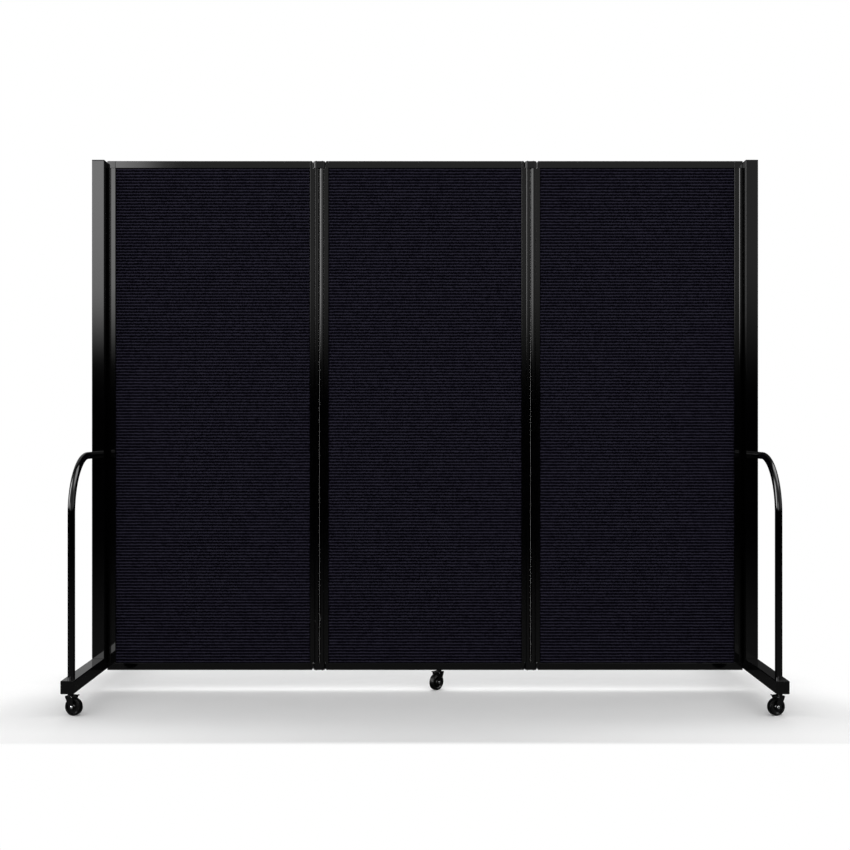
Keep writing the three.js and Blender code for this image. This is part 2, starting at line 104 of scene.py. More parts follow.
def noiseOf(tree, coords, scale, detail, roughness=0.55):
    inputs = {"Vector": coords, "Scale": scale, "Detail": detail, "Roughness": roughness}
    return addNode(tree, "ShaderNodeTexNoise", inputs).outputs[0]


def colourRamp(tree, value, stops):
    node = addNode(tree, "ShaderNodeValToRGB", {0: value})
    elements = node.color_ramp.elements
    while len(elements) < len(stops):
        elements.new(0.5)
    for element, (position, colour) in zip(elements, stops):
        element.position = position
        element.color = (*colour, 1)
    return node.outputs[0]


def feed(shader, name, value):
    shader.id_data.links.new(value, shader.inputs[name])


def bumped(tree, shader, height, distance):
    inputs = {"Height": height, "Distance": distance, "Strength": 1.0}
    feed(shader, "Normal", addNode(tree, "ShaderNodeBump", inputs).outputs[0])


def startMaterial(name):
    material = bpy.data.materials.new(name)
    material.use_nodes = True
    tree = material.node_tree
    shader = tree.nodes["Principled BSDF"]
    coords = addNode(tree, "ShaderNodeTexCoord").outputs["Object"]
    return material, tree, shader, coords


# Plain surfaces: a mottle for the colour, a cloud for the dullness and a grain for the relief.
# Each is a noise's scale, its detail and sometimes its roughness. The tones are levels of the
# mottle, with the share of the colour at each.
surfaces = {
    "enamel": {                   # with faint orange peel, and smudges that dull it a little
        "mottle": (55.0, 6.0, 0.7),
        "tones": ((0.35, 0.8), (0.5, 1.0), (0.78, 1.5)),
        "cloud": (9.0, 5.0),
        "cloudLevels": (0.3, 0.7),
        "grain": (420.0, 2.0),
    },
    "moulding": {                 # plastic and rubber, finely pebbled
        "mottle": (150.0, 6.0, 0.75),
        "tones": ((0.45, 1.0), (0.8, 1.8)),
        "cloud": (40.0, 4.0),
        "cloudLevels": (0.3, 0.7),
        "grain": (1600.0, 2.0),
    },
    "steel": {
        "mottle": (120.0, 5.0),
        "cloud": (120.0, 5.0),
        "cloudLevels": (0.3, 0.75),
        "grain": (900.0, 3.0),
    },
    "fibreboard": {
        "mottle": (700.0, 6.0, 0.7),
        "cloud": (700.0, 6.0, 0.7),
        "cloudLevels": (0.3, 0.7),
        "grain": (700.0, 6.0, 0.7),
    },
}
plainLooks = {
    "frame_enamel": {
        "surface": "enamel", "colour": (0.0005, 0.0005, 0.00055),
        "dull": (0.03, 0.07), "relief": 0.004 * mm,
    },
    "post_enamel": {
        "surface": "enamel", "colour": (0.0004, 0.0004, 0.00045),
        "dull": (0.03, 0.06), "relief": 0.004 * mm,
    },
    "tube_enamel": {
        "surface": "enamel", "colour": (0.0004, 0.0004, 0.00045),
        "dull": (0.03, 0.06), "relief": 0.003 * mm,
    },
    "bracket_gloss": {
        "surface": "enamel", "colour": (0.0006, 0.0006, 0.00065),
        "dull": (0.06, 0.1), "relief": 0.006 * mm,
    },
    "black_plastic": {
        "surface": "moulding", "colour": (0.002, 0.002, 0.0022),
        "dull": (0.14, 0.22), "relief": 0.006 * mm, "sockets": {"Specular IOR Level": 0.4},
    },
    "wheel_tread": {
        "surface": "moulding", "colour": (0.0014, 0.0014, 0.0015),
        "dull": (0.3, 0.4), "relief": 0.01 * mm, "sockets": {"Specular IOR Level": 0.2},
    },
    "wheel_core": {
        "surface": "moulding", "colour": (0.0014, 0.0014, 0.0015),
        "dull": (0.1, 0.16), "relief": 0.004 * mm, "sockets": {"Specular IOR Level": 0.5},
    },
    "bright_steel": {             # turned, on the axles
        "surface": "steel", "dull": (0.16, 0.3), "relief": 0.01 * mm, "sockets": {"Metallic": 1.0},
        "stops": ((0.3, (0.62, 0.62, 0.63)), (0.7, (0.84, 0.84, 0.85))),
    },
    "rod_steel": {                # blackened, on the pivot rods
        "surface": "steel", "dull": (0.24, 0.36), "relief": 0.01 * mm, "sockets": {"Metallic": 1.0},
        "stops": ((0.3, (0.008, 0.008, 0.0085)), (0.7, (0.014, 0.014, 0.0145))),
    },
    "core_board": {               # inside the cloth
        "surface": "fibreboard", "dull": (0.72, 0.88), "relief": 0.1 * mm,
        "stops": ((0.3, (0.3, 0.21, 0.12)), (0.55, (0.42, 0.32, 0.2)), (0.8, (0.52, 0.42, 0.28))),
    },
}


def plainMaterial(name, look):
    material, tree, shader, coords = startMaterial(name)
    surface = surfaces[look["surface"]]
    mottle, cloud, grain = (noiseOf(tree, coords, *surface[part]) for part in ("mottle", "cloud", "grain"))
    stops = look.get("stops") or [
        (level, [tone * channel for channel in look["colour"]]) for level, tone in surface["tones"]
    ]
    feed(shader, "Base Color", colourRamp(tree, mottle, stops))
    feed(shader, "Roughness", ramp(tree, cloud, *surface["cloudLevels"], *look["dull"]))
    for socket, value in look.get("sockets", {}).items():
        shader.inputs[socket].default_value = value
    bumped(tree, shader, grain, look["relief"])
    return material


# Ribbed cloth: navy-black crests over black valleys, woven from fine threads. The colour follows the ribs'
# height, so the black of the valleys is painted shade.
clothLook = {
    "stops": [
        (0.08, (0.0004, 0.0003, 0.0009)),      # valley, in painted shade
        (0.45, (0.005, 0.0045, 0.0086)),       # flank
        (0.92, (0.0209, 0.0192, 0.0316)),      # crest
    ],
    "threadPitch": 1.3 * mm,
    "threadDistortion": 0.6,
    "threadDetail": 1.0,
    "threadLevels": (0.0, 0.8),
    "threadTones": (0.8, 1.0),
    "threadHeight": 0.16 * mm,
    "slub": (380.0, 0.0),         # noise of the dark dashes, which widen the valleys' painted shade
    "drawn": (1, 1, 0.55),        # they stretch over a rib
    "slubLevels": (0.39, 0.58),
    "slubDepth": (2.6, -0.17),    # how much of the rib they eat
    "slubHeight": 1.0,            # height at which they leave it whole
    "cloud": (45.0, 3.0),
    "cloudLevels": (0.3, 0.7),
    "cloudTones": (0.9, 1.08),
    "dullLevels": (0.2, 0.8),
    "dull": (0.86, 1.0),
    "fuzz": (0.5, 1.0),
    "gloss": 0.02,
}
wavePeriod = math.pi / 10         # of a wave texture at a scale of one


def clothMaterial(name, look):
    material, tree, shader, coords = startMaterial(name)
    height = addNode(tree, "ShaderNodeAttribute", attribute_name="ribHeight").outputs["Fac"]
    wave = {
        "Vector": coords,
        "Scale": wavePeriod / look["threadPitch"],
        "Distortion": look["threadDistortion"],
        "Detail": look["threadDetail"],
    }
    threads = [
        addNode(tree, "ShaderNodeTexWave", wave, bands_direction=direction).outputs["Fac"]
        for direction in ("X", "Z")
    ]
    weave = calculate(tree, "MAXIMUM", *threads)
    stretch = {0: coords, 1: look["drawn"]}
    drawn = addNode(tree, "ShaderNodeVectorMath", stretch, operation="MULTIPLY").outputs[0]
    slub = noiseOf(tree, drawn, *look["slub"])
    cloud = noiseOf(tree, coords, *look["cloud"])
    eaten = ramp(tree, slub, *look["slubLevels"], *look["slubDepth"])
    lowness = calculate(tree, "SUBTRACT", look["slubHeight"], height)
    uneven = calculate(tree, "SUBTRACT", height, calculate(tree, "MULTIPLY", eaten, lowness))
    clouded = ramp(tree, cloud, *look["cloudLevels"], *look["cloudTones"])
    threaded = ramp(tree, weave, *look["threadLevels"], *look["threadTones"])
    tone = calculate(tree, "MULTIPLY", uneven, clouded)
    shaded = calculate(tree, "MULTIPLY", tone, threaded)
    # The colour follows the ribs' height: the dark valleys and dashes are painted shade
    feed(shader, "Base Color", colourRamp(tree, shaded, look["stops"]))
    feed(shader, "Roughness", ramp(tree, slub, *look["dullLevels"], *look["dull"]))
    shader.inputs["Specular IOR Level"].default_value = look["gloss"]
    fuzz = ramp(tree, slub, *look["dullLevels"], *look["fuzz"])
    bumped(tree, shader, calculate(tree, "MULTIPLY", weave, fuzz), look["threadHeight"])
    return material


finishes = {name: plainMaterial(name, look) for name, look in plainLooks.items()}
finishes["ribbed_cloth"] = clothMaterial("ribbed_cloth", clothLook)
print("finishes made:", len(finishes))


# Meshes
alongX = Matrix(((0, 0, 1, 0), (1, 0, 0, 0), (0, 1, 0, 0), (0, 0, 0, 1)))     # length to X, outline to YZ
alongY = Matrix.Rotation(math.pi / 2, 4, "X")                                 # length to Y, outline to XZ
unturned = Matrix.Identity(4)
halfTurn = Matrix.Rotation(math.pi, 4, "Z")
overX = Matrix.Rotation(math.pi, 4, "X")
overY = Matrix.Rotation(math.pi, 4, "Y")
overrun = 2 * mm          # how far a cut runs past the face that it opens
fitGap = 0.3 * mm
finestChord = 0.35 * mm   # step on a small round
stepsPerRadius = 12       # on a large one
fewestSteps = 3
samePoint = 0.001 * mm


def at(x=0, y=0, z=0):
    return Matrix.Translation((x, y, z))


def meshFrom(points, faces):
    mesh = bpy.data.meshes.new("piece")
    mesh.from_pydata([tuple(point) for point in points], [], faces)
    mesh.update()
    return mesh


def moved(mesh, matrix):
    result = mesh.copy()
    result.transform(matrix)
    return result


# Closed outline whose corners are (x, y, radius), each rounded with its own radius
def roundedOutline(corners):
    points = []
    for index, (x, y, radius) in enumerate(corners):
        corner = Vector((x, y))
        if radius <= 0:
            points.append(corner)
            continue
        before = (Vector(corners[index - 1][:2]) - corner).normalized()
        after = (Vector(corners[(index + 1) % len(corners)][:2]) - corner).normalized()
        halfAngle = before.angle(after) / 2
        centre = corner + (before + after).normalized() * (radius / math.sin(halfAngle))
        spoke = corner + before * (radius / math.tan(halfAngle)) - centre
        sweep = math.copysign(math.pi - 2 * halfAngle, after.cross(before))
        chord = max(finestChord, radius / stepsPerRadius)
        steps = max(fewestSteps, math.ceil(abs(sweep) * radius / chord))
        for step in range(steps + 1):
            points.append(centre + Matrix.Rotation(sweep * step / steps, 2) @ spoke)
    return [point for index, point in enumerate(points) if (point - points[index - 1]).length > samePoint]


def blockOutline(width, height, radius):
    x, y = width / 2, height / 2
    return roundedOutline([(-x, -y, radius), (x, -y, radius), (x, y, radius), (-x, y, radius)])


# Closed bar with its outline in XY and its length along Z
def prism(outline, low, high):
    count = len(outline)
    points = [(x, y, z) for z in (low, high) for x, y in outline]
    ring = [(i, (i + 1) % count) for i in range(count)]
    faces = [tuple(range(count))[::-1], tuple(range(count, 2 * count))]
    faces += [(i, j, count + j, count + i) for i, j in ring]
    return meshFrom(points, faces)


# The same with its outline in XZ and its length along Y
def bar(outline, low, high):
    return moved(prism(outline, low, high), alongY)


def cylinder(x, y, radius, low, high, sides=40):
    angles = [2 * math.pi * side / sides for side in range(sides)]
    outline = [(x + radius * math.cos(angle), y + radius * math.sin(angle)) for angle in angles]
    return prism(outline, low, high)


def boxMesh(low, high):
    outline = [(low[0], low[1]), (high[0], low[1]), (high[0], high[1]), (low[0], high[1])]
    return prism(outline, low[2], high[2])


# Body turned about Z from (radius, height) points, with a bore where the profile is a closed loop
def turned(profile, sides, bored=False):
    points, rings = [], []
    for radius, height in profile:
        if radius <= 0:
            rings.append([len(points)] * sides)
            points.append((0, 0, height))
            continue
        rings.append(list(range(len(points), len(points) + sides)))
        angles = [2 * math.pi * side / sides for side in range(sides)]
        points += [(radius * math.cos(angle), radius * math.sin(angle), height) for angle in angles]
    pairs = list(zip(rings, rings[1:])) + ([(rings[-1], rings[0])] if bored else [])
    faces = []
    for lower, upper in pairs:
        for side in range(sides):
            following = (side + 1) % sides
            corners = (lower[side], lower[following], upper[following], upper[side])
            faces.append(tuple(dict.fromkeys(corners)))
    return meshFrom(points, faces)


# The same about Y, with its faces turned outward
def turnedAcross(profile, sides, bored=False):
    mesh = moved(turned(profile, sides, bored), alongY)
    volume = sum(polygon.center.dot(polygon.normal) * polygon.area for polygon in mesh.polygons)
    if volume < 0:
        mesh.flip_normals()
    return mesh


# Profile from its upper half
def mirrored(upper):
    return [(across, -along) for across, along in reversed(upper)] + upper


# Profile of a domed end, from its rim to the axis
def dome(radius, start, rise, steps=8):
    points = []
    for step in range(1, steps + 1):
        turn = math.pi / 2 * step / steps
        points.append((radius * math.cos(turn) if step < steps else 0, start + rise * math.sin(turn)))
    return points


def holderOf(mesh):
    holder = bpy.data.objects.new("holder", mesh)
    scene.collection.objects.link(holder)
    return holder


# Mesh of a holder with its modifiers, in place of the holder
def evaluated(holder):
    depsgraph = bpy.context.evaluated_depsgraph_get()
    result = bpy.data.meshes.new_from_object(holder.evaluated_get(depsgraph))
    bpy.data.objects.remove(holder)
    return result


# Joins meshes to a body, then cuts others out of it
def carved(body, joined=(), cut=()):
    holder = holderOf(body)
    helpers = []
    for operation, meshes in (("UNION", joined), ("DIFFERENCE", cut)):
        for mesh in meshes:
            helpers.append(holderOf(mesh))
            modifier = holder.modifiers.new(operation, "BOOLEAN")
            modifier.operation = operation
            modifier.solver = "EXACT"
            modifier.object = helpers[-1]
    bpy.context.view_layer.update()
    result = evaluated(holder)
    for helper in helpers:
        bpy.data.objects.remove(helper)
    return result


def smooth(mesh, angle=36):
    mesh.shade_smooth()
    mesh.set_sharp_from_angle(angle=math.radians(angle))
    return mesh


# Eases the sharp edges of a mesh and leaves only real corners crisp
def eased(mesh, width, segments=2, angle=50):
    holder = holderOf(mesh)
    bevel = holder.modifiers.new("ease", "BEVEL")
    bevel.width = width
    bevel.segments = segments
    bevel.limit_method = "ANGLE"
    bevel.angle_limit = math.radians(angle)
    bevel.use_clamp_overlap = False
    return smooth(evaluated(holder))


# Puts a piece in place, on its body, for the node that it stands for
def place(node, mesh, finish, body, matrix, suffix="detail"):
    piece = bpy.data.objects.new(f"{node}_{suffix}", mesh)
    scene.collection.objects.link(piece)
    if not mesh.materials:
        mesh.materials.append(finishes[finish])
    piece.matrix_world = matrix
    weighted = piece.modifiers.new("evenNormals", "WEIGHTED_NORMAL")
    weighted.keep_sharp = True
    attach(piece, body)
    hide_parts(node)


# The left side's pieces serve the right side too, turned half round, with near and far swapped
sides = {
    "left": {"turn": unturned, "front": "front", "rear": "rear"},
    "right": {"turn": halfTurn, "front": "rear", "rear": "front"},
}


def placeBothSides(suffix, mesh, finish, group, matrix):
    for side, facts in sides.items():
        place(f"{side}_{suffix}", mesh, finish, f"{side}_{group}", facts["turn"] @ matrix)


# Panel frames
stileLow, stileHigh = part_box("centre_left_stile")
railLow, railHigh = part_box("centre_bottom_rail")
endLow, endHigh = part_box("left_outer_stile")
frameShape = {
    "flatWidth": 14.2 * mm,       # cloth's edge to the groove
    "grooveWidth": 2.8 * mm,
    "grooveStep": 0.5 * mm,       # steep side of the groove, towards the cloth
    "grooveDepth": 1.9 * mm,
    "grooveLip": 0.3 * mm,        # rounding where the flat meets the groove
    "grooveRim": 0.2 * mm,        # rounding on its far side
    "edgeRadius": 0.8 * mm,
    "slotDepth": 6 * mm,          # slot that holds the cloth and board
    "slotLip": 1.5 * mm,
    "railWall": 2 * mm,
    "swingGap": 0.8 * mm,         # stile to turning link
    "boreRadius": 3.3 * mm,
    "noseReach": 0.2 * mm,        # past the CAD's, for a thinner line of daylight between two noses
    "cornerAcross": 2.6 * mm,     # small chamfers beside the links
    "cornerUp": 3.6 * mm,
    "eased": 0.3 * mm,
}
socketShape = {
    "outer": 9 * mm,
    "bore": 5.3 * mm,
    "depth": 15.3 * mm,
}
thickness = stileHigh.y - stileLow.y
noseRadius = thickness / 2
stileWidth = stileHigh.x - stileLow.x
stilePin = stileWidth - noseRadius
endWidth = endHigh.x - endLow.x
frameHeight = stileHigh.z - stileLow.z
frameMiddle = (stileHigh.z + stileLow.z) / 2
frameTop = stileHigh.z
frameBottom = stileLow.z
railHeight = railHigh.z - railLow.z
slotHalf = noseRadius - frameShape["slotLip"]


# The cloth's edge is at x = 0, with the slot open to it, and the nose is at the far end
def stileOutline(shape):
    half = noseRadius
    edge, rim = shape["edgeRadius"], shape["grooveRim"]
    flat, lip = shape["flatWidth"], shape["grooveLip"]
    grooveEnd = flat + shape["grooveWidth"]
    noseEnd = stileWidth + shape["noseReach"]
    grooveFoot = flat + shape["grooveStep"]
    grooveFloor = half - shape["grooveDepth"]
    slotDepth = shape["slotDepth"]
    front = [
        (0, -half, edge),
        (flat, -half, lip),
        (grooveFoot, -grooveFloor, 0),
        (grooveEnd, -half, rim),
        (noseEnd, -half, half),
    ]
    rear = [(x, -y, radius) for x, y, radius in reversed(front)]
    slot = [(0, slotHalf, 0), (slotDepth, slotHalf, 0), (slotDepth, -slotHalf, 0), (0, -slotHalf, 0)]
    return roundedOutline(front + rear + slot)


# Both ends of its nose are cut back for the links
def hingeStile(shape):
    half = frameHeight / 2
    shoulder = stilePin - noseRadius - shape["swingGap"]
    foot = half - railHeight - shape["swingGap"]
    across = thickness / 2 + overrun
    bore = cylinder(stilePin, 0, shape["boreRadius"], -half - overrun, half + overrun)
    notch = bar([
        (shoulder, foot),
        (stileWidth + overrun, foot),
        (stileWidth + overrun, half + shape["cornerUp"]),
        (shoulder - 2 * shape["cornerAcross"], half + shape["cornerUp"]),
        (shoulder, half - shape["cornerUp"]),
    ], -across, across)
    body = prism(stileOutline(shape), -half, half)
    return eased(carved(body, cut=[bore, notch, moved(notch, overX)]), shape["eased"])


def endStile(shape):
    half = (endHigh.z - endLow.z) / 2
    across = thickness / 2 + overrun
    trim = boxMesh((endWidth, -across, -half - overrun), (stileWidth + overrun, across, half + overrun))
    return eased(carved(prism(stileOutline(shape), -half, half), cut=[trim]), shape["eased"])


# Hollow rail along X, centred on the origin, with its slot upward
def railMesh(shape, length, socketAt=None):
    half, slotDepth, wall = noseRadius, shape["slotDepth"], shape["railWall"]
    low, high, edge = -railHeight / 2, railHeight / 2, shape["edgeRadius"]
    outline = roundedOutline([
        (-half, low, edge),
        (half, low, edge),
        (half, high, edge),
        (slotHalf, high, 0),
        (slotHalf, high - slotDepth, 0),
        (-slotHalf, high - slotDepth, 0),
        (-slotHalf, high, 0),
        (-half, high, edge),
    ])
    body = moved(prism(outline, -length / 2, length / 2), alongX)
    reach = length / 2 + overrun
    hollow = boxMesh((-reach, -half + wall, low + wall), (reach, half - wall, high - slotDepth - wall))
    mesh = carved(body, cut=[hollow])
    if socketAt is not None:
        mesh = withSocket(mesh, shape, socketAt)
    return eased(mesh, shape["eased"])


# Block in the rail's hollow, with a bore for a caster's stem
def withSocket(mesh, shape, socketAt):
    half, wall, wide = noseRadius, shape["railWall"], socketShape["outer"]
    low, high = -railHeight / 2, railHeight / 2
    top = high - shape["slotDepth"] - wall / 2
    socket = boxMesh(
        (socketAt - wide, -half + wall / 2, low + wall / 2),
        (socketAt + wide, half - wall / 2, top),
    )
    bore = cylinder(socketAt, 0, socketShape["bore"], low - overrun, low + socketShape["depth"])
    return carved(mesh, [socket], [bore])


def makeFrames(shape):
    hinge = hingeStile(shape)
    for side, edge, turn in (("left", stileHigh.x, halfTurn), ("right", -stileHigh.x, unturned)):
        spot = at(edge, 0, frameMiddle) @ turn
        place(f"centre_{side}_stile", hinge, "frame_enamel", "centre_panel", spot)
    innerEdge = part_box("left_inner_stile")[0].x
    placeBothSides("inner_stile", hinge, "frame_enamel", "wing", at(innerEdge, 0, frameMiddle))
    spot = at(endHigh.x, 0, (endLow.z + endHigh.z) / 2) @ halfTurn
    placeBothSides("outer_stile", endStile(shape), "frame_enamel", "wing", spot)
    low = at(z=frameBottom + railHeight / 2)
    high = at(z=frameTop - railHeight / 2) @ overX
    length = railHigh.x - railLow.x
    socketAt = joints["centre_swivel"]["pos_m"][0]
    socketed = railMesh(shape, length, socketAt)
    place("centre_bottom_rail", socketed, "frame_enamel", "centre_panel", low)
    place("centre_top_rail", railMesh(shape, length), "frame_enamel", "centre_panel", high)
    wingLow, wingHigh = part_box("left_top_rail")
    wingRail = railMesh(shape, wingHigh.x - wingLow.x)
    middle = at((wingLow.x + wingHigh.x) / 2)
    placeBothSides("bottom_rail", wingRail, "frame_enamel", "wing", middle @ low)
    placeBothSides("top_rail", wingRail, "frame_enamel", "wing", middle @ high)


makeFrames(frameShape)
print("panel frames made")


# Corner brackets, with a spigot in the rail's hollow
bracketShape = {
    "spigot": 20 * mm,
    "eased": 0.45 * mm,
    "easedSegments": 3,
}


def bracketMesh(shape):
    low, high = -railHeight / 2, railHeight / 2
    wall, slotDepth = frameShape["railWall"] + fitGap, frameShape["slotDepth"]
    inner, edge = noseRadius - wall, frameShape["edgeRadius"]
    outline = roundedOutline([
        (0, -noseRadius, edge),
        (endWidth, -noseRadius, edge),
        (endWidth, noseRadius, edge),
        (0, noseRadius, edge),
    ])
    slot = boxMesh((-overrun, -slotHalf, high - slotDepth), (slotDepth, slotHalf, high + overrun))
    block = carved(prism(outline, low, high), cut=[slot])
    spigot = boxMesh((-shape["spigot"], -inner, low + wall), (slotDepth, inner, high - slotDepth - wall))
    return smooth(carved(eased(block, shape["eased"], shape["easedSegments"]), [spigot]))


def makeBrackets(shape):
    mesh = bracketMesh(shape)
    mesh.materials.append(finishes["bracket_gloss"])
    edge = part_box("left_top_rail")[0].x - fitGap
    low = at(edge, 0, frameBottom + railHeight / 2) @ halfTurn
    high = at(edge, 0, frameTop - railHeight / 2) @ overY
    placeBothSides("bottom_bracket", mesh, "black_plastic", "wing", low)
    placeBothSides("top_bracket", mesh, "black_plastic", "wing", high)


makeBrackets(bracketShape)
print("corner brackets made")


# Hinge links and their pivot rods
linkLow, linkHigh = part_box("left_top_link")
rodLow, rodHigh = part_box("left_inner_rod")
hingeX = (linkLow.x + linkHigh.x) / 2
pinReach = (linkHigh.x - linkLow.x) / 2 - noseRadius
hingeShape = {
    "rodRadius": 3 * mm,
    "tipRadius": 3.2 * mm,        # domed end that shows above and below the panels
    "tipStart": 1.5 * mm,         # below the panel's top
    "tipFoot": 2 * mm,
    "rodSides": 32,
    "chamferAcross": 2.6 * mm,
    "chamferUp": 3.2 * mm,
    "eased": 0.35 * mm,
}


def linkMesh(shape):
    half = railHeight / 2
    reach = pinReach + noseRadius
    body = prism(blockOutline(2 * reach, thickness, noseRadius), -half, half)
    bores = [
        cylinder(x, 0, frameShape["boreRadius"], -half - overrun, half + overrun)
        for x in (-pinReach, pinReach)
    ]
    across, up, beyond = shape["chamferAcross"], shape["chamferUp"], noseRadius + overrun
    wedge = bar([
        (reach + across, half - up),
        (reach + across, half + up),
        (reach - 2 * across, half + up),
        (reach, half - up),
    ], -beyond, beyond)
    wedges = [moved(wedge, turn) for turn in (unturned, halfTurn, overX, overY)]
    return eased(carved(body, cut=bores + wedges), shape["eased"])


def rodMesh(shape):
    half = (rodHigh.z - rodLow.z) / 2
    neck = frameHeight / 2
    radius, tip = shape["rodRadius"], shape["tipRadius"]
    upper = [(radius, neck - shape["tipFoot"]), (tip, neck - shape["tipStart"]), (tip, neck)]
    return smooth(turned(mirrored(upper + dome(tip, neck, half - neck)), shape["rodSides"]))


def makeHinges(shape):
    link, rod = linkMesh(shape), rodMesh(shape)
    top = at(hingeX, 0, frameTop - railHeight / 2)
    bottom = at(hingeX, 0, frameBottom + railHeight / 2)
    placeBothSides("top_link", link, "frame_enamel", "link", top)
    placeBothSides("bottom_link", link, "frame_enamel", "link", bottom)
    for suffix, reach in (("inner_rod", pinReach), ("outer_rod", -pinReach)):
        placeBothSides(suffix, rod, "rod_steel", "link", at(hingeX + reach, 0, frameMiddle))


makeHinges(hingeShape)
print("hinges made")


# Posts, caps and feet
postLow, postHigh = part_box("left_post")
capLow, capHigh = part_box("left_post_cap")
legLow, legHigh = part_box("left_leg")
standShape = {
    "postWall": 2 * mm,
    "postCorner": 1.6 * mm,
    "postInner": 0.5 * mm,
    "postEased": 0.3 * mm,
    "capPlate": 3 * mm,
    "capLap": 2 * mm,             # the cap's top to the top of its plug
    "capEased": 0.7 * mm,
    "legWall": 2.5 * mm,
    "legCorner": 2.5 * mm,
    "legEased": 0.9 * mm,
    "easedSegments": 4,
    "socketRadius": 9 * mm,
    "socketBore": 5.3 * mm,
    "socketHeight": 18 * mm,
}
postX = (postLow.x + postHigh.x) / 2
postWidth = postHigh.x - postLow.x
postDepth = postHigh.y - postLow.y
casterY = -joints["left_front_swivel"]["pos_m"][1]


def postMesh(shape):
    wall = shape["postWall"]
    outer = prism(blockOutline(postWidth, postDepth, shape["postCorner"]), postLow.z, postHigh.z)
    inside = blockOutline(postWidth - 2 * wall, postDepth - 2 * wall, shape["postInner"])
    hollow = prism(inside, postLow.z - overrun, postHigh.z + overrun)
    return eased(carved(outer, cut=[hollow]), shape["postEased"])


def capMesh(shape):
    plate = blockOutline(postWidth, postDepth, shape["postCorner"])
    plate = prism(plate, capHigh.z - shape["capPlate"], capHigh.z)
    gap = shape["postWall"] + fitGap
    plug = blockOutline(postWidth - 2 * gap, postDepth - 2 * gap, shape["postInner"])
    plug = prism(plug, capLow.z, capHigh.z - shape["capLap"])
    return smooth(carved(eased(plate, shape["capEased"], shape["easedSegments"]), [plug]))


def legMesh(shape):
    width, height = legHigh.x - legLow.x, legHigh.z - legLow.z
    reach = (legHigh.y - legLow.y) / 2
    wall = shape["legWall"]
    block = bar(blockOutline(width, height, shape["legCorner"]), -reach, reach)
    hollow = boxMesh(
        (-width / 2 + wall, -reach + wall, -height / 2 + wall),
        (width / 2 - wall, reach - wall, height / 2 - wall),
    )
    shell = carved(eased(block, shape["legEased"], shape["easedSegments"]), cut=[hollow])
    low, top = -height / 2, shape["socketHeight"] - height / 2
    ends = (-casterY, casterY)
    sockets = [cylinder(0, y, shape["socketRadius"], low + wall / 2, top) for y in ends]
    bores = [cylinder(0, y, shape["socketBore"], low - overrun, top + overrun) for y in ends]
    return smooth(carved(shell, sockets, bores))


# Bent tube at the front: level out from the post, a quarter bend, then down to the foot
hoopShape = {
    "bendRadius": 172 * mm,
    "bendSteps": 48,
    "sides": 48,
}


def hoopMesh(shape):
    low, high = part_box("left_front_hoop")
    radius = (high.x - low.x) / 2
    reach, level = -low.y - radius, high.z - radius
    bend = shape["bendRadius"]
    path = [(high.y, level, 0)]
    for step in range(shape["bendSteps"] + 1):
        turn = math.pi / 2 * step / shape["bendSteps"]
        path.append((bend - reach - bend * math.sin(turn), level - bend + bend * math.cos(turn), turn))
    path.append((-reach, low.z, math.pi / 2))
    count = shape["sides"]
    points, faces = [], []
    for y, z, turn in path:
        outward = Vector((0, -math.sin(turn), math.cos(turn)))
        for side in range(count):
            angle = 2 * math.pi * side / count
            spoke = Vector((math.cos(angle), 0, 0)) + outward * math.sin(angle)
            points.append(Vector((0, y, z)) + spoke * radius)
    for ring in range(len(path) - 1):
        for side in range(count):
            i, j = ring * count + side, ring * count + (side + 1) % count
            faces.append((i, i + count, j + count, j))
    faces.append(tuple(range(count)))
    faces.append(tuple(range((len(path) - 1) * count, len(path) * count))[::-1])
    return smooth(meshFrom(points, faces))


def makeStands(shape):
    spot = at(postX)
    placeBothSides("post", postMesh(shape), "post_enamel", "wing", spot)
    placeBothSides("post_cap", capMesh(shape), "black_plastic", "wing", spot)
    placeBothSides("leg", legMesh(shape), "post_enamel", "wing", at(postX, 0, (legLow.z + legHigh.z) / 2))
    hoop = hoopMesh(hoopShape)
    for side, facts in sides.items():
        for end, turn in (("front", unturned), ("rear", halfTurn)):
            matrix = facts["turn"] @ spot @ turn
            place(f"{side}_{facts[end]}_hoop", hoop, "tube_enamel", f"{side}_wing", matrix)


makeStands(standShape)
print("posts, feet and bent tubes made")


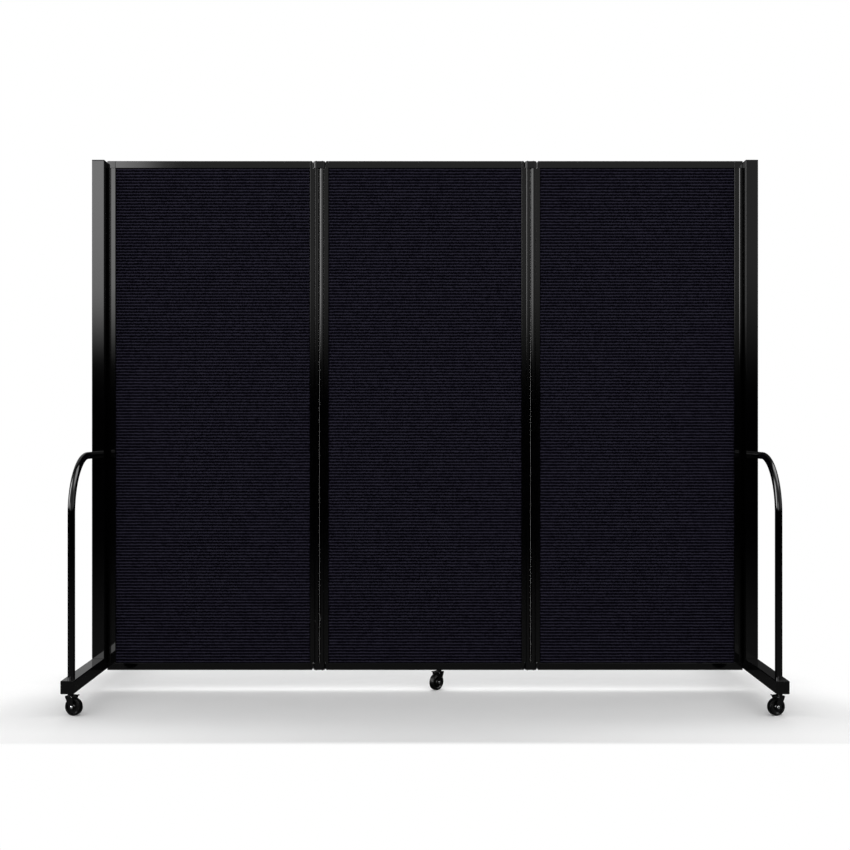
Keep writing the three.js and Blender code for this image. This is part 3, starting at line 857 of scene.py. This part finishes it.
# Casters share a frame: the swivel axis is Z, the wheel trails towards +X and the floor is at z = 0
casterShape = {
    "wheelRadius": 26 * mm,
    "wheelHalf": 9 * mm,
    "floorGap": 0.02 * mm,
    "treadRound": 1.8 * mm,
    "treadSteps": 6,
    "seamRadius": 21.2 * mm,      # where the tread meets the core
    "seamHalf": 0.4 * mm,
    "hubRadius": 7.5 * mm,
    "hubHalf": 10 * mm,
    "hubEased": 0.5 * mm,
    "boreEased": 0.4 * mm,
    "webInner": 9.6 * mm,
    "webOuter": 17.5 * mm,
    "webHalf": 5.5 * mm,
    "webStep": 0.3 * mm,          # the web stands higher inside the ring
    "ringRadius": 11.4 * mm,      # raised ring round the hub
    "ringRise": 1.1 * mm,
    "ringFoot": (0.8 * mm, 0.9 * mm),          # inward and outward
    "ringHalf": 0.4 * mm,
    "rimSlope": (0.8 * mm, 2.2 * mm, 2.7 * mm),     # outward from the web
    "rimRise": (0.7 * mm, 0.5 * mm),           # above the web, and below the wheel's side
    "wheelSides": 96,
    "wheelCrease": 30,            # degrees
    "axleRadius": 3 * mm,
    "axleHead": 4.6 * mm,
    "axleDome": 1.5 * mm,
    "axleEased": 0.3 * mm,
    "axleSides": 40,
    "axleCrease": 40,
    "hubClearance": 0.6 * mm,
    "armThickness": 3 * mm,
    "armBoss": 7 * mm,
    "armSegments": 3,
    "crownHalf": 9 * mm,
    "crownThickness": 4.5 * mm,
    "crownGap": 3 * mm,
    "swivelRadius": 9 * mm,
    "swivelLap": 2 * mm,          # how far it reaches into the crown
    "swivelStep": 1 * mm,
    "swivelSlope": 0.5 * mm,
    "swivelEased": 0.4 * mm,
    "swivelSides": 48,
    "stemRadius": 5 * mm,
    "stemLength": 15 * mm,
    "cornerRadius": 1.2 * mm,
    "eased": 0.35 * mm,
    "mountDigits": 5,
}
pedalShape = {
    "hubRadius": 2.8 * mm,
    "ear": 0.7 * mm,
    "gap": 0.5 * mm,
    "length": 13.5 * mm,
    "rise": 4 * mm,
    "thickness": 2.8 * mm,
    "tipRound": 1 * mm,
    "bendRound": 0.8 * mm,
    "lugReach": 7.2 * mm,
    "lugWidth": 3 * mm,
    "lugDrop": 3.4 * mm,
    "eased": 0.35 * mm,
    "easedSegments": 3,
    "ridgeRadius": 0.7 * mm,
    "ridges": (0.62, 0.86),       # shares of the pedal's length
    "ridgeInset": 2 * mm,
    "ridgeSides": 16,
    "pinRadius": 1.6 * mm,
    "pinEnd": ((1, 0.4 * mm), (0.8, 0.1 * mm), (0.5, 0), (0, 0)),     # share of its radius, from its end
    "pinSides": 24,
}
swivelPoint = Vector(joints["left_front_swivel"]["pos_m"])
spinPoint = Vector(joints["left_front_wheel_spin"]["pos_m"])
trail = (spinPoint - swivelPoint).to_2d().length
axleHeight = spinPoint.z
crownBottom = axleHeight + casterShape["wheelRadius"] + casterShape["crownGap"]
crownTop = crownBottom + casterShape["crownThickness"]
armInner = casterShape["hubHalf"] + casterShape["hubClearance"]
armOuter = armInner + casterShape["armThickness"]
pedalX = casterShape["crownHalf"] + pedalShape["gap"] + pedalShape["hubRadius"]
earRadius = pedalShape["hubRadius"] + pedalShape["ear"]
pedalZ = crownTop - earRadius


def wheelMesh(shape):
    half, hub, web, bend = shape["wheelHalf"], shape["hubHalf"], shape["webHalf"], shape["treadRound"]
    rim = axleHeight - shape["floorGap"]
    turns = [math.pi / 2 * step / shape["treadSteps"] for step in range(shape["treadSteps"] + 1)]
    tread = [(rim - bend + bend * math.sin(turn), half - bend + bend * math.cos(turn)) for turn in turns]
    bore, boreEased = shape["axleRadius"] + fitGap, shape["boreEased"]
    hubRadius, hubEased = shape["hubRadius"], shape["hubEased"]
    ring, ringHalf, ringTop = shape["ringRadius"], shape["ringHalf"], web + shape["ringRise"]
    inward, outward = shape["ringFoot"]
    webOuter, seam, seamHalf = shape["webOuter"], shape["seamRadius"], shape["seamHalf"]
    slope, rise = shape["rimSlope"], shape["rimRise"]
    side = [
        (bore, hub - boreEased),
        (bore + boreEased, hub),
        (hubRadius - hubEased, hub),
        (hubRadius, hub - hubEased),
        (shape["webInner"], web + shape["webStep"]),
        (ring - inward, web + shape["webStep"]),
        (ring - ringHalf, ringTop),
        (ring + ringHalf, ringTop),
        (ring + outward, web),
        (webOuter, web),
        (webOuter + slope[0], web + rise[0]),
        (webOuter + slope[1], half - rise[1]),
        (webOuter + slope[2], half),
        (seam - seamHalf, half),
        (seam, half - seamHalf),
        (seam + seamHalf, half),
        *tread,
    ]
    mesh = turnedAcross(mirrored(side[::-1]), shape["wheelSides"], bored=True)
    mesh.materials.append(finishes["wheel_core"])
    mesh.materials.append(finishes["wheel_tread"])
    for polygon in mesh.polygons:
        x, _, z = polygon.center
        polygon.material_index = int(math.hypot(x, z) > seam)
    return smooth(mesh, shape["wheelCrease"])


def axleMesh(shape):
    half, head, ease = armOuter + fitGap, shape["axleHead"], shape["axleEased"]
    upper = [(shape["axleRadius"], half), (head - ease, half), (head, half + ease)]
    upper += dome(head, half + ease, shape["axleDome"] - ease)
    return smooth(turnedAcross(mirrored(upper), shape["axleSides"]), shape["axleCrease"])


# Fork with two arms, a crown and a swivel stem that goes up into its socket
def forkMesh(shape, mountHeight):
    edge, boss, crownHalf = shape["cornerRadius"], shape["armBoss"], shape["crownHalf"]
    outline = roundedOutline([
        (-crownHalf, crownTop, edge),
        (-crownHalf, crownBottom, edge),
        (trail - boss, axleHeight - boss, boss),
        (trail + boss, axleHeight - boss, boss),
        (pedalX + earRadius, pedalZ, 0),
        (pedalX + earRadius, crownTop, earRadius),
    ])
    arms = [
        eased(bar(outline, low, high), shape["eased"], shape["armSegments"])
        for low, high in ((armInner, armOuter), (-armOuter, -armInner))
    ]
    crown = boxMesh(
        (-crownHalf + edge / 2, -armOuter + edge / 2, crownBottom + edge / 4),
        (crownHalf, armOuter - edge / 2, crownTop - edge / 4),
    )
    disc, ease = shape["swivelRadius"], shape["swivelEased"]
    neck, foot, top = disc - shape["swivelStep"], crownTop - shape["swivelLap"], mountHeight - fitGap
    middle = (crownTop + mountHeight) / 2
    swivel = turned([
        (0, foot),
        (neck, foot),
        (neck, middle - shape["swivelSlope"]),
        (disc, middle),
        (disc, top - ease),
        (disc - ease, top),
        (0, top),
    ], shape["swivelSides"])
    stem = cylinder(0, 0, shape["stemRadius"], crownTop, mountHeight + shape["stemLength"])
    reach = armOuter + overrun
    bores = [
        moved(cylinder(x, z, radius + fitGap, -reach, reach), alongY)
        for x, z, radius in (
            (trail, axleHeight, shape["axleRadius"]),
            (pedalX, pedalZ, pedalShape["pinRadius"]),
        )
    ]
    return smooth(carved(arms[0], [arms[1], eased(crown, shape["eased"]), swivel, stem], bores))


# Pedal with its pivot at the origin: a rising tongue, and a lug that presses on the wheel
def pedalMesh(shape):
    hub, reach, wide = shape["hubRadius"], shape["lugReach"], shape["lugWidth"]
    tip, rise, thick = shape["length"], shape["rise"], shape["thickness"]
    bend, tipRound = shape["bendRound"], shape["tipRound"]
    half = armInner - fitGap
    outline = roundedOutline([
        (-hub, -hub, hub),
        (reach - wide, -hub, 0),
        (reach - wide / 2, -shape["lugDrop"], 0),
        (reach + wide / 2, -shape["lugDrop"], bend),
        (reach + wide / 2, (rise - thick) / 2, 0),
        (tip, rise - thick / 2, tipRound),
        (tip, rise + thick / 2, tipRound),
        (0, hub, bend),
        (-hub, hub, hub),
    ])
    body = eased(bar(outline, -half, half), shape["eased"], shape["easedSegments"])
    slope = (rise + thick / 2 - hub) / tip
    inner = half - shape["ridgeInset"]
    radius, count = shape["ridgeRadius"], shape["ridgeSides"]
    ridges = [
        moved(cylinder(along, hub + slope * along, radius, -inner, inner, count), alongY)
        for along in (share * tip for share in shape["ridges"])
    ]
    bore = moved(cylinder(0, 0, shape["pinRadius"], -half - overrun, half + overrun), alongY)
    return smooth(carved(body, ridges, [bore]))


def pedalPinMesh(shape, crease):
    upper = [(share * shape["pinRadius"], armOuter - inset) for share, inset in shape["pinEnd"]]
    return smooth(turnedAcross(mirrored(upper), shape["pinSides"]), crease)


def makeCasters(shape):
    wheel, axle = wheelMesh(shape), axleMesh(shape)
    pedal, pin = pedalMesh(pedalShape), pedalPinMesh(pedalShape, shape["axleCrease"])
    forks = {}
    for name in ("centre", "left_front", "left_rear", "right_front", "right_rear"):
        swivel = Vector(joints[f"{name}_swivel"]["pos_m"])
        spin = Vector(joints[f"{name}_wheel_spin"]["pos_m"])
        turn = math.atan2(spin.y - swivel.y, spin.x - swivel.x)
        spot = at(swivel.x, swivel.y) @ Matrix.Rotation(turn, 4, "Z")
        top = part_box(f"{name}_caster_fork")[1].z
        mount = round(top - shape["stemLength"], shape["mountDigits"])
        if mount not in forks:
            forks[mount] = forkMesh(shape, mount)
        atAxle = spot @ at(trail, 0, axleHeight)
        atPivot = spot @ at(pedalX, 0, pedalZ)
        place(f"{name}_caster_fork", forks[mount], "black_plastic", f"{name}_fork", spot)
        place(f"{name}_caster_axle", axle, "bright_steel", f"{name}_fork", atAxle)
        place(f"{name}_caster_wheel", wheel, "wheel_tread", f"{name}_wheel", atAxle)
        place(f"{name}_brake_pedal", pedal, "black_plastic", f"{name}_pedal", atPivot)
        place(f"{name}_brake_pedal", pin, "bright_steel", f"{name}_pedal", atPivot, "pin")


makeCasters(casterShape)
print("casters made")


# Cloth: a front and a rear sheet on each board, ribbed across, with their edges in the frame's slots
clothShape = {
    "ribs": 165,
    "rowsPerRib": 6,
    "columns": 90,
    "edgeColumns": (0, 1.2 * mm, 2.6 * mm, 4.6 * mm),     # extra ones, in from the frame
    "edgeWidth": 8 * mm,
    "crest": 9.2 * mm,            # from the panel's middle plane
    "valley": 7.2 * mm,
    "tucked": 7.9 * mm,
    "edgeRoll": 4.5 * mm,         # the cloth dips over this width before the frame
    "edgePaintedShade": 0.35,            # a rib's height in the dip, for its colour: painted shade where the cloth dips into the frame
    "ribPower": 0.75,             # below 1 for broad crests
    "tallest": 1.15,
    "wander": 0.036,              # how far ribs stray, as a share of their pitch
    "wanderCells": ((0.65, 1.3, 17), (0.35, 1, 7)),       # share, height in ribs and width in mm
    "unevenness": 0.06,
    "unevenCells": ((0.6, 1, 13), (0.4, 0.5, 8)),
    "seed": 11,
}


# Smooth random field with one value per cell, read at rows and columns counted in cells
def softField(random, rows, columns):
    grid = random.uniform(-1, 1, (int(rows.max()) + 3, int(columns.max()) + 3))
    rowCell, columnCell = rows.astype(int), columns.astype(int)
    down, across = rows - rowCell, columns - columnCell
    down, across = down * down * (3 - 2 * down), across * across * (3 - 2 * across)
    upper = grid[rowCell, columnCell] * (1 - across) + grid[rowCell, columnCell + 1] * across
    lower = grid[rowCell + 1, columnCell] * (1 - across) + grid[rowCell + 1, columnCell + 1] * across
    return upper * (1 - down) + lower * down


# Height of the ribs at each point, from 0 in a valley
def ribHeights(shape, random, x, z, pitch, low, mouthLow):
    fromLeft, ribsUp = (x - low.x) / mm, (z - low.z) / pitch

    def field(cells):
        return sum(share * softField(random, ribsUp / tall, fromLeft / wide) for share, tall, wide in cells)

    stray = field(shape["wanderCells"])
    swell = field(shape["unevenCells"])
    phase = 2 * np.pi * ((z - mouthLow) / pitch + shape["wander"] * stray)
    rib = (0.5 - 0.5 * np.cos(phase)) ** shape["ribPower"]
    return np.clip(rib * (1 + shape["unevenness"] * swell), 0, shape["tallest"])


def gridMesh(x, y, z, front):
    rows, columns = x.shape
    index = np.arange(rows * columns, dtype=np.int32).reshape(rows, columns)
    quads = np.stack([index[:-1, :-1], index[:-1, 1:], index[1:, 1:], index[1:, :-1]], axis=-1)
    quads = quads.reshape(-1, 4)
    if not front:
        quads = quads[:, ::-1]
    mesh = bpy.data.meshes.new("cloth")
    mesh.vertices.add(rows * columns)
    mesh.vertices.foreach_set("co", np.stack([x, y, z], axis=-1).astype(np.float32).ravel())
    mesh.loops.add(quads.size)
    mesh.loops.foreach_set("vertex_index", np.ascontiguousarray(quads).ravel())
    mesh.polygons.add(len(quads))
    mesh.polygons.foreach_set("loop_start", np.arange(0, quads.size, 4, dtype=np.int32))
    mesh.update(calc_edges=True)
    mesh.validate()
    mesh.shade_smooth()
    return mesh


def clothMesh(shape, low, high, front, seed):
    tuck = frameShape["slotDepth"] - fitGap
    mouthLow, mouthHigh = low.z + tuck, high.z - tuck
    pitch = (mouthHigh - mouthLow) / shape["ribs"]
    ribRows = shape["ribs"] * shape["rowsPerRib"]
    heights = np.concatenate(([low.z], np.linspace(mouthLow, mouthHigh, ribRows + 1), [high.z]))
    edge = np.array([0, *(tuck + column for column in shape["edgeColumns"])])
    inset = tuck + shape["edgeWidth"]
    inner = np.linspace(low.x + inset, high.x - inset, shape["columns"])
    places = np.concatenate((low.x + edge, inner, (high.x - edge)[::-1]))
    x, z = np.meshgrid(places, heights)
    rib = ribHeights(shape, np.random.default_rng(seed), x, z, pitch, low, mouthLow)
    fromEdge = np.minimum.reduce([x - low.x - tuck, high.x - tuck - x, z - mouthLow, mouthHigh - z])
    rise = np.clip(fromEdge / shape["edgeRoll"], 0, 1)
    rise = rise * (2 - rise)
    proud = shape["valley"] + (shape["crest"] - shape["valley"]) * np.clip(rib, 0, 1)
    depth = shape["tucked"] + (proud - shape["tucked"]) * rise
    mesh = gridMesh(x, -depth if front else depth, z, front)
    shade = mesh.attributes.new("ribHeight", "FLOAT", "POINT")
    # Painted shade: the colour darkens where the cloth dips into the frame's slots
    paintedDipShade = shape["edgePaintedShade"] + (1 - shape["edgePaintedShade"]) * rise
    shade.data.foreach_set("value", (rib * paintedDipShade).astype(np.float32).ravel())
    return mesh


def makeCloth(shape):
    seed = shape["seed"]
    for panel, body in (("left", "left_wing"), ("centre", "centre_panel"), ("right", "right_wing")):
        node = f"{panel}_fabric"
        low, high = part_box(node)
        for face in ("front", "rear"):
            seed += 1
            mesh = clothMesh(shape, low, high, face == "front", seed)
            mesh.materials.append(finishes["ribbed_cloth"])
            piece = bpy.data.objects.new(f"{panel}_{face}_cloth", mesh)
            scene.collection.objects.link(piece)
            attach(piece, body)
            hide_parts(node)
        board = frame["nodes"][f"{panel}_board"]
        board.data.materials.clear()
        board.data.materials.append(finishes["core_board"])


makeCloth(clothShape)
print("cloth and boards made")


# Floor: pale near the screen, where it keeps the shadow, and white where it runs out of the picture
floorLook = {
    "size": 14,
    "colour": (0.8, 0.8, 0.8),
    "grain": (6.0, 6.0),
    "grainLevels": (0.35, 0.65),
    "grainTone": 0.985,
    "dullLevels": (0.3, 0.7),
    "dull": (0.85, 0.95),
    "gloss": 0.1,
    "reach": (1.9, 1.6),          # half width of the pale patch, and its depth behind the line below
    "middle": -0.35,
    "fade": (0.66, 0.8),
    "front": (-0.635, -0.685),    # where it ends in front
    "forward": (-0.36, -0.6),     # where it starts to pale towards its front corners
    "outward": (0.0, 1.1),
    "corner": (0.08, 0.46),       # how white, from the middle to the corners
}


# Share of white over the floor
def floorFade(tree, coords, look):
    parts = addNode(tree, "ShaderNodeSeparateXYZ", {0: coords}).outputs
    across = calculate(tree, "DIVIDE", parts[0], look["reach"][0])
    behind = calculate(tree, "MAXIMUM", calculate(tree, "SUBTRACT", parts[1], look["middle"]), 0.0)
    along = calculate(tree, "DIVIDE", behind, look["reach"][1])
    squares = [calculate(tree, "MULTIPLY", part, part) for part in (across, along)]
    distance = calculate(tree, "SQRT", calculate(tree, "ADD", *squares))
    corner = ramp(tree, calculate(tree, "ABSOLUTE", parts[0]), *look["outward"], *look["corner"])
    paling = calculate(tree, "MULTIPLY", corner, ramp(tree, parts[1], *look["forward"]))
    ended = calculate(tree, "MAXIMUM", paling, ramp(tree, parts[1], *look["front"]))
    return calculate(tree, "MAXIMUM", ramp(tree, distance, *look["fade"]), ended)


def makeFloor(look):
    half = look["size"] / 2
    corners = [(-half, -half, 0), (half, -half, 0), (half, half, 0), (-half, half, 0)]
    mesh = meshFrom(corners, [(0, 1, 2, 3)])
    floor = bpy.data.objects.new("floor", mesh)
    scene.collection.objects.link(floor)
    material, tree, shader, coords = startMaterial("paleFloor")
    grain = noiseOf(tree, coords, *look["grain"])
    dull = [look["grainTone"] * channel for channel in look["colour"]]
    stops = list(zip(look["grainLevels"], (dull, look["colour"])))
    feed(shader, "Base Color", colourRamp(tree, grain, stops))
    feed(shader, "Roughness", ramp(tree, grain, *look["dullLevels"], *look["dull"]))
    shader.inputs["Specular IOR Level"].default_value = look["gloss"]
    seen = addNode(tree, "ShaderNodeLightPath").outputs["Is Camera Ray"]
    white = addNode(tree, "ShaderNodeEmission", {"Color": (1, 1, 1, 1), "Strength": 1.0})
    share = calculate(tree, "MULTIPLY", floorFade(tree, coords, look), seen)
    mixed = addNode(tree, "ShaderNodeMixShader", {0: share, 1: shader.outputs[0], 2: white.outputs[0]})
    feed(tree.nodes["Material Output"], "Surface", mixed.outputs[0])
    mesh.materials.append(material)
    floor.visible_glossy = False


makeFloor(floorLook)
print("floor made")


# Studio: white all round for the camera, and a soft room for the lamps' light and the gloss.
# Angles are in degrees; azimuth is counted from the front towards the screen's left.
studioLook = {
    "frontFill": 1.12,
    "backFill": 1.27,
    "fillTurn": (-0.4, 0.4),      # from the front to the back, as a share of the way
    "frontTurn": (0.1, -0.3),
    "frontGloss": 0.44,
    "frontRise": (1.0, 8.4),
    "sideRise": (2.7, 6.6),       # the lights at the sides start here
    "sideRiseSlow": (4.0, 12.0),
    "slowShare": 0.3,
    "floorGloss": 0.125,
    "floorFall": (-4.5, -11.5),
    "panelGloss": 3.7,            # white wall to the front left
    "panelStart": (12.0, 14.6),
    "panelEnd": (30.0, 20.0),
    "panelTop": (21.0, 15.0),
    "softboxGloss": 10.0,         # tall light to the left
    "softboxStart": (55.0, 61.0),
    "softboxEnd": (91.0, 79.0),
    "softboxTop": (54.0, 36.0),
    "leftGloss": 0.42,            # wall between them
    "leftStart": (18.0, 26.0),
    "leftEnd": (66.0, 56.0),
    "leftTop": (70.0, 50.0),
    "rightGloss": 0.38,
    "rightStart": (-40.0, -60.0),
    "rightEnd": (-125.0, -110.0),
    "rightTop": (62.0, 50.0),
    "overheadGloss": 4.0,         # light above the right side
    "overheadStart": (-25.0, -42.0),
    "overheadEnd": (-140.0, -120.0),
    "overheadRise": (32.0, 50.0),
    "behindTurn": (0.1, 0.5),
    "backGloss": (0.4, 0.048),    # behind the screen, from its left to its right
    "backTurn": (-0.2, 0.2),
    "backRise": (0.0, 6.0),
    "backFloorGloss": 0.026,
    "backFloorFall": (-10.0, -12.0),
}


# What the gloss and the plain light see of the room
def roomLight(tree, look):
    direction = addNode(tree, "ShaderNodeTexCoord").outputs["Generated"]
    parts = addNode(tree, "ShaderNodeSeparateXYZ", {0: direction}).outputs
    elevation = calculate(tree, "MULTIPLY", calculate(tree, "ARCSINE", parts[2]), math.degrees(1))
    leftward = calculate(tree, "MULTIPLY", parts[0], -1.0)
    forward = calculate(tree, "MULTIPLY", parts[1], -1.0)
    azimuth = calculate(tree, "MULTIPLY", calculate(tree, "ARCTAN2", leftward, forward), math.degrees(1))

    def product(first, *others):
        for other in others:
            first = calculate(tree, "MULTIPLY", first, other)
        return first

    def step(value, name):
        return ramp(tree, value, *look[name])

    quick = product(step(elevation, "sideRise"), 1 - look["slowShare"])
    slow = product(step(elevation, "sideRiseSlow"), look["slowShare"])
    rising = calculate(tree, "ADD", quick, slow)
    inFront = step(parts[1], "frontTurn")
    behind = step(parts[1], "behindTurn")
    lights = [
        product(step(elevation, "frontRise"), inFront, look["frontGloss"]),
        product(step(elevation, "floorFall"), inFront, look["floorGloss"]),
    ]
    for name in ("panel", "left", "softbox", "right"):
        facing = product(step(azimuth, f"{name}Start"), step(azimuth, f"{name}End"))
        lights.append(product(facing, rising, step(elevation, f"{name}Top"), look[f"{name}Gloss"]))
    facing = product(step(azimuth, "overheadStart"), step(azimuth, "overheadEnd"))
    lights.append(product(facing, step(elevation, "overheadRise"), look["overheadGloss"]))
    backShare = ramp(tree, parts[0], *look["backTurn"], *look["backGloss"])
    lights.append(product(behind, step(elevation, "backRise"), backShare))
    lights.append(product(behind, step(elevation, "backFloorFall"), look["backFloorGloss"]))
    gloss = lights[0]
    for light in lights[1:]:
        gloss = calculate(tree, "ADD", gloss, light)
    return gloss, ramp(tree, parts[1], *look["fillTurn"], look["frontFill"], look["backFill"])


def makeStudio(look):
    world = bpy.data.worlds.new("studio")
    scene.world = world
    world.use_nodes = True
    tree = world.node_tree
    tree.nodes.clear()
    gloss, diffuse = roomLight(tree, look)
    path = addNode(tree, "ShaderNodeLightPath").outputs
    shiny = calculate(tree, "MAXIMUM", path["Is Glossy Ray"], path["Is Transmission Ray"])
    white, shine, fill = (
        addNode(tree, "ShaderNodeBackground", {"Color": (1, 1, 1, 1), "Strength": strength}).outputs[0]
        for strength in (1.0, gloss, diffuse)
    )
    unseen = addNode(tree, "ShaderNodeMixShader", {0: shiny, 1: fill, 2: shine}).outputs[0]
    mixed = addNode(tree, "ShaderNodeMixShader", {0: path["Is Camera Ray"], 1: unseen, 2: white}).outputs[0]
    feed(addNode(tree, "ShaderNodeOutputWorld"), "Surface", mixed)


# Lamp: a big soft one from above and behind
lampLooks = {
    "rearOverhead": {"place": (0, 2.2, 3.4), "aim": (0, 0, 0.3), "size": (3.2, 1.4), "power": 40},
}


def makeLamp(name, look):
    data = bpy.data.lights.new(name, "AREA")
    data.shape = "RECTANGLE"
    data.size, data.size_y = look["size"]
    data.energy = look["power"]
    lamp = bpy.data.objects.new(name, data)
    scene.collection.objects.link(lamp)
    lamp.location = look["place"]
    toward = Vector(look["aim"]) - Vector(look["place"])
    lamp.rotation_euler = toward.to_track_quat("-Z", "Y").to_euler()
    lamp.visible_glossy = False      # the room's own panels make the reflections


makeStudio(studioLook)
for lampName, lampLook in lampLooks.items():
    makeLamp(lampName, lampLook)
print("studio and lamps made")
